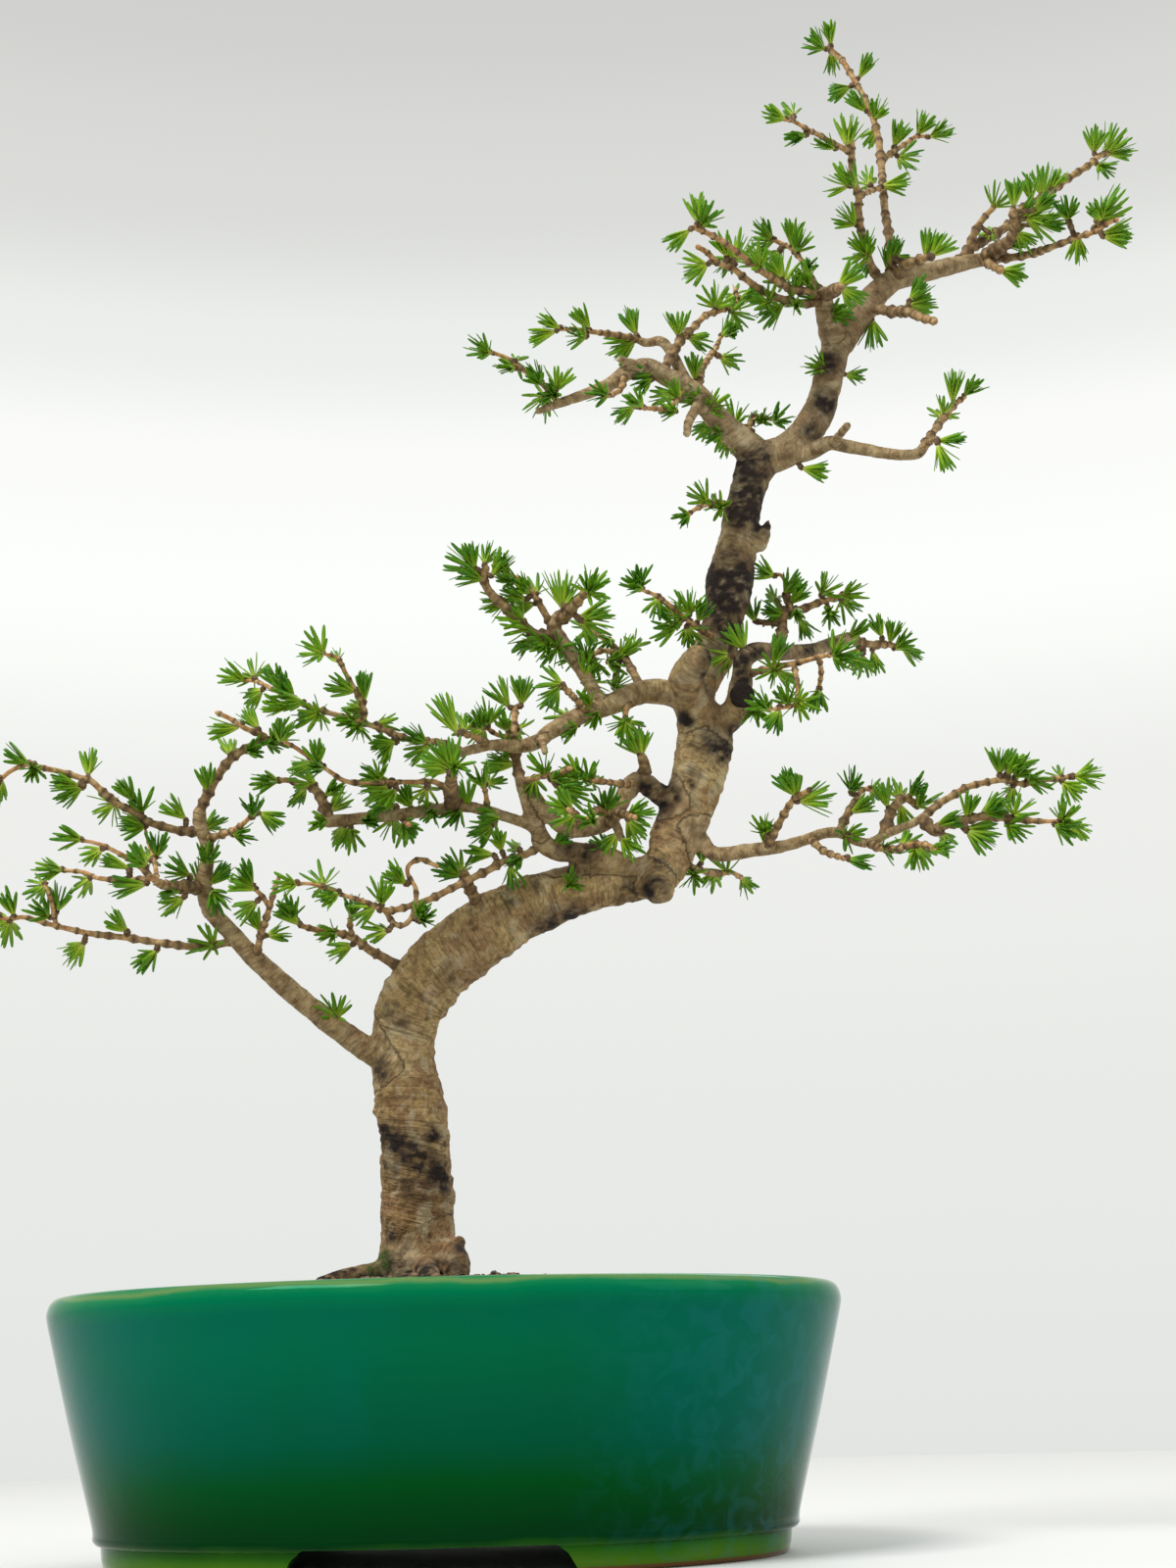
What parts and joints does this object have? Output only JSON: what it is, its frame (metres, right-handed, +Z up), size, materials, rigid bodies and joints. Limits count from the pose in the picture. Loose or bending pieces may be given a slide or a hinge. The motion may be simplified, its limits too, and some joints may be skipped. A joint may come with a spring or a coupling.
{
  "type": "larch bonsai",
  "caption": "Larch bonsai with a leaning, bent trunk and sprays of short needles, standing in soil in an oval glazed pot on a foot ring.",
  "frame": {"origin": "on the ground, at the centre of the whole object's box in X and Y", "axes": "+Z up, +X along the pot's length towards the side that the tree's top leans to, -Y towards the front"},
  "size_m": [0.4804, 0.236, 0.6323],
  "materials": {
    "glaze": "glossy green glaze",
    "soil": "loose fired-clay grit and bark crumbs",
    "bark": "rough tan bark",
    "needles": "soft green needles on thin twigs",
    "screen": "black plastic mesh"
  },
  "bodies": {
    "root": {"pot": "glaze", "screen_left": "screen", "screen_right": "screen", "soil": "soil", "spray_arch_left": "needles", "spray_arch_top": "needles", "spray_back_twig": "needles", "spray_big_left": "needles", "spray_big_low": "needles", "spray_crest": "needles", "spray_crest_low": "needles", "spray_crown_arm": "needles", "spray_crown_bud": "needles", "spray_crown_low": "needles", "spray_crown_up": "needles", "spray_far_left": "needles", "spray_far_mid": "needles", "spray_far_right": "needles", "spray_far_top": "needles", "spray_fork_twig": "needles", "spray_inner_thin": "needles", "spray_left_end": "needles", "spray_left_low": "needles", "spray_left_mid": "needles", "spray_left_tail": "needles", "spray_left_top": "needles", "spray_left_under": "needles", "spray_low_end": "needles", "spray_low_far": "needles", "spray_low_fork": "needles", "spray_low_inner": "needles", "spray_low_knob": "needles", "spray_low_mid": "needles", "spray_low_tail": "needles", "spray_low_tip": "needles", "spray_low_up": "needles", "spray_mid_tip": "needles", "spray_right_far": "needles", "spray_right_front": "needles", "spray_right_top": "needles", "spray_rise_brush": "needles", "spray_rise_left": "needles", "spray_rise_right": "needles", "spray_rise_top": "needles", "spray_spar_top": "needles", "spray_spire": "needles", "spray_stem_left": "needles", "spray_top_fan": "needles", "spray_top_left": "needles", "spray_top_mid": "needles", "spray_top_right": "needles", "spray_top_rise": "needles", "spray_tower": "needles", "trunk": "bark"}
  },
  "joints": []
}
